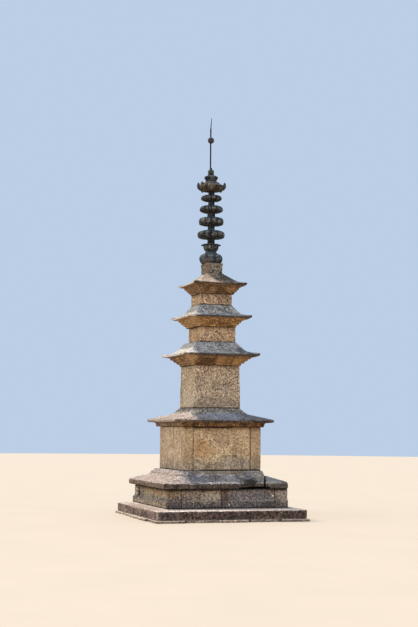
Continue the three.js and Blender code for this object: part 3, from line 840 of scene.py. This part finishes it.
body_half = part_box("first_body")[1].x
weather_all("upper_cover_", {"front": 34000, "back": 34000}, "tower_granite", UPPER_COVER_STONE, 0.011,
            51.0, hidden_half=body_half - 0.01, rounding=0.007, chip_size=0.10, pit_depth=0.005)


# The three storeys' bodies
# Each is one granite block with its four corner posts cut proud of the faces. Warm and deeply
# pitted on the first, smoother on the posts, and set dry on the course below.

def body_finish(node, light, dark, speck, sunny, painted_sunlit_dark):
    """Warm faces with a lighter copy painted on the sunny sides as sunlight, painted shade under the eaves,
    and black in the joint at the foot.
    """
    foot, top = (corner.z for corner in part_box(node))
    body = begin_finish(node.replace("_", " ") + " stone", light, dark, speck, patch_size=0.2,
                        contrast=2.4)
    # Painted sunlight: a lighter copy of the grain on the sunny sides.
    painted_sunlit_body = grain(body, sunny, painted_sunlit_dark, (92, 68, 49), speck_share=0.75, contrast=2.6)
    lay_over(body, painted_sunlit_body, 1.0, "sunny")
    # Painted shade under the eaves: the top of the body is darker.
    lay_over(body, (112, 84, 58), 0.6, stain(body, top, top - 0.09, 0.05))
    lay_over(body, (206, 184, 152), 0.2, "arris")
    blotches(body, *body_patches.get(node, ()))
    # Painted shade, with some dirt, darkens the inner corners and the pits.
    lay_over(body, (70, 50, 36), 0.8, "corner")
    lay_over(body, (86, 63, 46), 0.5, "pit")
    lay_over(body, (40, 31, 26), 0.85, stain(body, foot + 0.01, foot + 0.026, 0.008))
    return end_finish(body)


def open_joints(node, face, *gaps):
    """Open joints along the foot of a stone's front face."""
    return [front_slot(low_x, high_x, face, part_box(node)[0].z) for low_x, high_x in gaps]


body_patches = {
    "first_body": [
        *on_front(-0.46, (0.09, 2.66, 0.24, 0.09, (110, 94, 94), 0.25),
                  (0.00, 2.32, 0.70, 0.14, (134, 118, 106), 0.45)),
        *on_left(-0.47, (-0.10, 2.42, 0.45, 0.15, (198, 178, 154), 0.6),
                 (0.44, 2.60, 0.02, 0.60, (96, 72, 50), 0.6))],
}
third_half = 0.342
body_cuts = {
    "first_body": open_joints("first_body", body_half, (-0.52, -0.479), (-0.028, 0.058)),
    "third_body": open_joints("third_body", third_half, (-0.342, -0.212)),
}
bodies = {
    "first_body": (0.011, 40000, (194, 170, 141), (176, 153, 126), (74, 54, 40), (203, 183, 152),
                   (173, 152, 121)),
    "second_body": (0.009, 24000, (209, 176, 140), (178, 144, 109), (86, 60, 42), (198, 165, 124),
                    (166, 134, 98)),
    "third_body": (0.008, 18000, (206, 173, 136), (152, 125, 97), (64, 47, 34), (206, 177, 139),
                   (168, 139, 105)),
}
for number, (node, (grid, most_faces, *colours)) in enumerate(bodies.items()):
    weather(node, "tower_granite", body_finish(node, *colours), grid, most_faces, 61.0 + number,
            cuts=body_cuts.get(node, ()), chip_depth=0.012, chip_size=0.08, wave_depth=0.005,
            pit_depth=0.007)


# The three roofs
# Each is one granite block: four stepped corbels under the eaves, thin eaves that rise at the
# corners, and a hollow slope up to the next body's seat. Split and dressed, and set dry on its body.

def roof_finish(node, slope, slope_dark, corbel, corbel_dark, painted_sunlit_corbel_colour):
    """Greyed slopes, eaves that rain has darkened, and rust-brown corbels in the shelter under them, with
    sunlight painted on the sunny sides, highlights on the sunny arrises and near corners, and shade in the
    inner corners and pits.
    """
    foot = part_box(node)[0].z
    eaves_foot, eaves_top = foot + 0.184, foot + 0.242
    roof = begin_finish(node.replace("_", " ") + " stone", slope, slope_dark, (64, 61, 60),
                        patch_size=0.1, contrast=1.4)
    lay_over(roof, (88, 84, 84), 0.4, streaks(roof, 0.05, 0.2, 0.25))
    # Painted sunlight on the upper sides that face the key lamp.
    lay_over(roof, (214, 206, 190), 0.6, "up", "sunny")
    eaves = grain(roof, (76, 56, 40), (44, 32, 23), (26, 19, 14), (128, 104, 80), patch_size=0.1,
                  contrast=3.6)
    lay_over(roof, eaves, 0.9, "not up", "not sunny")
    lay_over(roof, eaves, 0.7, stain(roof, eaves_top - 0.017, eaves_top, 0.01), "up", "not sunny")
    # Painted sunlight on the sunny sides of the eaves, and a painted highlight along the sunny arrises.
    lay_over(roof, (196, 178, 158), 0.8, "not up", "sunny")
    lay_over(roof, (226, 216, 200), 0.5, "not down", "arris", "sunny")
    lay_over(roof, (70, 50, 33), 0.85, "arris", "not sunny")
    corbels = stain(roof, eaves_foot - 0.012, eaves_foot, 0.004)
    sheltered = grain(roof, corbel, corbel_dark, (56, 38, 26), (200, 160, 122), patch_size=0.11,
                      contrast=4.4)
    lay_over(roof, sheltered, 1.0, corbels)
    lay_over(roof, (62, 44, 30), 0.5, corbels, streaks(roof, 0.04, 0.1, 0.3), "not sunny")
    # Painted sunlight: a lighter copy of the corbels' grain on their sunny sides.
    painted_sunlit_corbels = grain(roof, painted_sunlit_corbel_colour, corbel_dark, (70, 50, 34), speck_share=0.7, contrast=4.0)
    lay_over(roof, painted_sunlit_corbels, 0.9, corbels, "sunny")
    # Painted shade, with some dirt, darkens the inner corners and the pits.
    lay_over(roof, (48, 34, 25), 0.85, "corner")
    lay_over(roof, (70, 52, 39), 0.5, "pit")
    lay_over(roof, (40, 29, 22), 0.8, stain(roof, foot + 0.004, foot + 0.014, 0.006))
    blotches(roof, *roof_patches[node])
    return end_finish(roof, grit=3.0)


roof_patches = {
    "first_roof": [
        ((-0.66, -0.64, 3.20), (0.22, 0.25, 0.16), (188, 152, 112), 0.6),
        ((-0.28, -0.60, 3.18), (0.22, 0.3, 0.10), (76, 52, 30), 0.75),
        ((0.03, -0.60, 3.20), (0.10, 0.3, 0.10), (186, 142, 92), 0.5),
        ((0.46, -0.60, 3.20), (0.18, 0.3, 0.12), (184, 140, 92), 0.45),
        ((0.55, -0.70, 3.42), (0.22, 0.2, 0.10), (84, 82, 82), 0.7),
        # Painted highlight where the sun catches the broken near corner.
        ((-0.76, -0.84, 3.37), (0.17, 0.1, 0.05), (226, 216, 200), 0.85)],
    "second_roof": [
        ((-0.50, -0.52, 3.98), (0.12, 0.25, 0.14), (176, 138, 98), 0.5),
        ((0.20, -0.50, 3.96), (0.20, 0.3, 0.10), (120, 86, 52), 0.4),
        ((-0.50, 0.00, 4.20), (0.16, 0.60, 0.10), (134, 124, 120), 0.65),
        # Painted highlight where the sun catches the broken near corner.
        ((-0.64, -0.69, 4.12), (0.14, 0.1, 0.05), (220, 208, 194), 0.85)],
    "third_roof": [
        ((-0.10, 0.05, 4.96), (0.45, 0.50, 0.2), (138, 119, 100), 0.6),
        ((0.24, -0.20, 4.93), (0.28, 0.30, 0.16), (72, 64, 57), 0.85),
        ((-0.42, -0.38, 4.88), (0.12, 0.12, 0.05), (214, 196, 178), 0.35),
        ((-0.13, -0.40, 4.87), (0.12, 0.12, 0.07), (206, 184, 168), 0.3)],
}
first_corbel, second_corbel, third_corbel = 0.514, 0.421, 0.367
second_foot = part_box("second_roof")[0].z
roof_cuts = {
    "first_roof": open_joints("first_roof", first_corbel, (-0.53, -0.47), (-0.039, 0.069)),
    "second_roof": [
        *open_joints("second_roof", second_corbel, (-0.352, -0.235), (-0.039, 0.30)),
        lump((0.226, 0.241), (-0.60, -0.44), (second_foot + 0.115, second_foot + 0.175))],
    "third_roof": open_joints("third_roof", third_corbel, (0.083, 0.303)),
}
roofs = {
    "first_roof": (0.010, 58000, (184, 182, 176), (138, 137, 136), (154, 116, 74), (96, 69, 43),
                   (172, 134, 92)),
    "second_roof": (0.009, 46000, (184, 180, 174), (128, 126, 124), (184, 142, 94), (130, 94, 57),
                    (178, 139, 92)),
    "third_roof": (0.008, 40000, (166, 147, 128), (110, 98, 88), (153, 118, 80), (99, 73, 49),
                   (144, 110, 72)),
}
for number, (node, (grid, most_faces, *colours)) in enumerate(roofs.items()):
    weather(node, "tower_granite", roof_finish(node, *colours), grid, most_faces, 71.0 + number,
            cuts=roof_cuts[node], rounding=0.008, wave_size=0.2, pit_depth=0.004, pit_size=0.05)


# Finial stones
# Turned and carved stones threaded on the iron rod: a square base block, an inverted bowl, a lotus,
# four wheels, a canopy with raised ears, a lobed stone and a drum. Darkened by lichen and soot.

def petals_tree():
    """Cuts petals round a turned stone: upright grooves in its side, deepest at the rim."""
    tree, given, result = open_tree(
        "petals", axis_x=0.0, petal_count=8.0, first_petal=0.0, inner_radius=0.12, groove_depth=0.01)
    place = add_node(tree, "GeometryNodeInputPosition")[0]
    normal = add_node(tree, "GeometryNodeInputNormal")["Normal"]
    spread = split(tree, place)
    x = minus(tree, spread["X"], given["Axis X"])
    y = spread["Y"]
    turn = minus(tree, calc(tree, "ARCTAN2", y, x), given["First Petal"])
    half_turns = times(tree, turn, times(tree, given["Petal Count"], 0.5))
    wave = calc(tree, "ABSOLUTE", calc(tree, "COSINE", half_turns))
    radius = calc(tree, "SQRT", plus(tree, times(tree, x, x), times(tree, y, y)))
    edge = rise(tree, radius, given["Inner Radius"], plus(tree, given["Inner Radius"], 0.06))
    groove = times(tree, rise(tree, wave, 0.6, 0.0), edge)
    shape = store(tree, given["Stone"], "groove", groove)
    shape = push_in(tree, shape, normal, times(tree, groove, given["Groove Depth"]))
    return close_tree(tree, given, result, shape)


def finial_finish(name, light, dark, up, down, *patches):
    """Sooty stone with other tints on its upper and under faces, painted shade in its grooves, inner corners
    and pits, and its own patches.
    """
    finial = begin_finish(name, light, dark, (26, 23, 21), light, patch_size=0.09, speck_size=0.04,
                          contrast=3.0)
    lay_over(finial, up, 0.7, "up")
    lay_over(finial, down, 0.7, "down")
    groove = add_node(finial["tree"], "ShaderNodeAttribute", attribute_name="groove")["Fac"]
    # Painted shade in the petal grooves, the inner corners and the pits.
    lay_over(finial, (28, 27, 28), 0.75, groove)
    lay_over(finial, (26, 23, 21), 0.8, "corner")
    lay_over(finial, (30, 27, 26), 0.6, "pit")
    blotches(finial, *patches)
    return end_finish(finial, grit=5.0)


BASE_BLOCK_STONE = finial_finish(
    "base block stone", (144, 129, 112), (96, 86, 76), (176, 160, 142), (104, 80, 58),
    ((-0.15, -0.18, 5.13), (0.06, 0.1, 0.10), (166, 126, 92), 0.45),
    ((0.02, -0.19, 5.245), (0.30, 0.1, 0.035), (170, 150, 122), 0.4))
BOWL_STONE = finial_finish(
    "bowl stone", (92, 99, 101), (50, 54, 57), (92, 98, 104), (34, 30, 28),
    ((-0.14, -0.14, 5.32), (0.12, 0.12, 0.08), (94, 84, 76), 0.6))
WHEEL_STONE = finial_finish(
    "wheel stone", (108, 106, 99), (42, 44, 48), (58, 70, 84), (26, 25, 26),
    ((0.022, 0.0, 6.0), (0.13, 0.13, 5.0), (28, 31, 38), 0.8),
    ((0.022, 0.0, 5.99), (0.12, 0.12, 0.06), (84, 98, 108), 0.8))
CANOPY_STONE = finial_finish(
    "canopy stone", (104, 91, 75), (55, 50, 45), (80, 84, 86), (50, 39, 30),
    ((-0.31, 0.10, 6.93), (0.11, 0.18, 0.18), (38, 44, 52), 0.8),
    ((0.34, -0.10, 6.93), (0.11, 0.18, 0.18), (38, 44, 52), 0.8))
DRUM_STONE = finial_finish(
    "drum stone", (78, 82, 70), (38, 42, 38), (60, 68, 66), (24, 24, 22),
    ((-0.16, -0.06, 7.07), (0.08, 0.2, 0.06), (26, 27, 44), 0.85),
    ((0.14, -0.06, 7.07), (0.08, 0.2, 0.06), (26, 27, 44), 0.85),
    ((-0.01, -0.15, 7.07), (0.06, 0.1, 0.06), (96, 96, 86), 0.5),
    ((-0.02, 0.00, 7.18), (0.10, 0.10, 0.05), (40, 54, 52), 0.6))

finial_stones = {
    "finial_base_block": (BASE_BLOCK_STONE, 12000, None),
    "inverted_bowl": (BOWL_STONE, 12000, (8.0, 0.14, 0.004)),
    "upturned_lotus": (WHEEL_STONE, 14000, (8.0, 0.12, 0.008)),
    "fourth_wheel": (WHEEL_STONE, 14000, (12.0, 0.12, 0.022)),
    "third_wheel": (WHEEL_STONE, 14000, (12.0, 0.12, 0.022)),
    "second_wheel": (WHEEL_STONE, 13000, (12.0, 0.11, 0.020)),
    "first_wheel": (WHEEL_STONE, 12000, (12.0, 0.10, 0.018)),
    "canopy": (CANOPY_STONE, 18000, (8.0, 0.17, 0.010)),
    "lobed_stone": (DRUM_STONE, 9000, None),
    "drum": (DRUM_STONE, 6000, None),
}
lotus_low, lotus_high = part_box("upturned_lotus")
lost_petal = lump((-0.07, 0.12), (lotus_low.y - 0.01, -0.085), (lotus_high.z - 0.045, lotus_high.z))
petals = petals_tree()
for number, (node, (finish, most_faces, petal_cut)) in enumerate(finial_stones.items()):
    carving = None
    if petal_cut:
        low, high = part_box(node)
        petal_count, inner_radius, groove_depth = petal_cut
        carving = {
            "tree": petals, "axis_x": (low.x + high.x) / 2, "petal_count": petal_count,
            "first_petal": math.radians(26.67), "inner_radius": inner_radius,
            "groove_depth": groove_depth}
    weather(node, "finial_stone", finish, 0.006, most_faces, 81.0 + number, carving=carving,
            cuts=(lost_petal,) if node == "upturned_lotus" else (), rounding=0.004, chip_depth=0.014,
            chip_size=0.05, wave_depth=0.004, wave_size=0.09, pit_depth=0.003, pit_size=0.03)


# Iron rod and ball
# A forged rod that stands on the third roof, carries every finial stone and the ball, and ends in a
# thin bent spike. Wrought iron, swollen by its rust and blackened.

rust = begin_finish("rusted iron", (16, 19, 34), (10, 12, 24), (9, 9, 14), (26, 26, 36),
                    patch_size=0.06, speck_size=0.016)
blotches(rust, ((-0.03, -0.04, 7.90), (0.05, 0.06, 0.05), (84, 74, 70), 0.6))
RUSTED_IRON = end_finish(rust, roughness=0.7, grit=2.0)

rust_thickness = 0.0035
rod = copied("iron_rod")
for corner in rod.data.vertices:
    corner.co.xy = corner.co.xy + corner.normal.xy * rust_thickness
iron_pieces = ((copied("ball"), "ball", 0.005, 6000), (rod, "iron_rod", 0.003, 18000))
for number, (rough, node, grid, most_faces) in enumerate(iron_pieces):
    weather(node, "iron", RUSTED_IRON, grid, most_faces, 95.0 + number, rough=rough, rounding=0.001,
            chip_depth=0.001, chip_size=0.03, wave_depth=0.001, wave_size=0.04, pit_depth=0.0005,
            pit_size=0.02)


# Studio
# A plain pale floor, a high soft key lamp behind the left shoulder of the tower, a wide fill from
# the left, a pale sky round it all, and the camera where the photographer stood.

floor_mesh = bpy.data.meshes.new("floor")
work = bmesh.new()
bmesh.ops.create_circle(work, cap_ends=True, segments=96, radius=60.0)
work.to_mesh(floor_mesh)
work.free()
floor = new_object("floor", floor_mesh)
floor_material = bpy.data.materials.new("pale floor")
floor_material.use_nodes = True
floor_tree = floor_material.node_tree
floor_place = floor_tree.nodes.new("ShaderNodeTexCoord").outputs["Object"]
floor_colour = blend(floor_tree, clouds(floor_tree, floor_place, 1.5, 3.0),
                     (0.46, 0.39, 0.31, 1.0), (0.50, 0.42, 0.33, 1.0))
floor_surface = floor_tree.nodes["Principled BSDF"]
floor_tree.links.new(floor_colour, floor_surface.inputs["Base Color"])
floor_surface.inputs["Roughness"].default_value = 0.95
floor_mesh.materials.append(floor_material)


def lamp(name, toward, strength, softness, colour):
    """A lamp far away in that direction, with a disc of that many degrees."""
    light = bpy.data.lights.new(name, "SUN")
    light.energy = strength
    light.angle = math.radians(softness)
    light.color = colour
    made = new_object(name, light)
    made.rotation_euler = Vector(toward).to_track_quat("Z", "Y").to_euler()


lamp("key", (-0.2, 0.2, 1.0), 4.3, 5.0, (1.0, 0.93, 0.84))
lamp("left fill", (-1.0, -0.05, 0.35), 0.95, 70.0, (1.0, 0.91, 0.82))
lamp("front fill", (0.15, -1.0, 0.25), 0.5, 110.0, (1.0, 0.88, 0.74))
world = bpy.data.worlds.new("pale sky")
world.use_nodes = True
sky = world.node_tree.nodes["Background"].inputs
sky["Color"].default_value = (0.50, 0.62, 0.79, 1.0)
sky["Strength"].default_value = 1.0
bpy.context.scene.world = world

eye = Vector((-8.083, -24.40, 1.827))
yaw, pitch, roll = (math.radians(angle) for angle in (18.263, 5.32, 0.5))
ahead = Vector((math.sin(yaw) * math.cos(pitch), math.cos(yaw) * math.cos(pitch), math.sin(pitch)))
level = Vector((math.cos(yaw), -math.sin(yaw), 0.0))
upright = level.cross(ahead)
right = level * math.cos(roll) + upright * math.sin(roll)
top = upright * math.cos(roll) - level * math.sin(roll)
camera_data = bpy.data.cameras.new("camera")
frame_height = 627
focal_pixels = 1230.0
camera_data.sensor_width = 36.0
camera_data.lens = camera_data.sensor_width * focal_pixels / frame_height
camera_data.clip_end = 200.0
camera = new_object("camera", camera_data)
camera.matrix_world = Matrix((right, top, -ahead)).transposed().to_4x4()
camera.location = eye
bpy.context.scene.camera = camera
bpy.context.scene.view_settings.view_transform = "Standard"
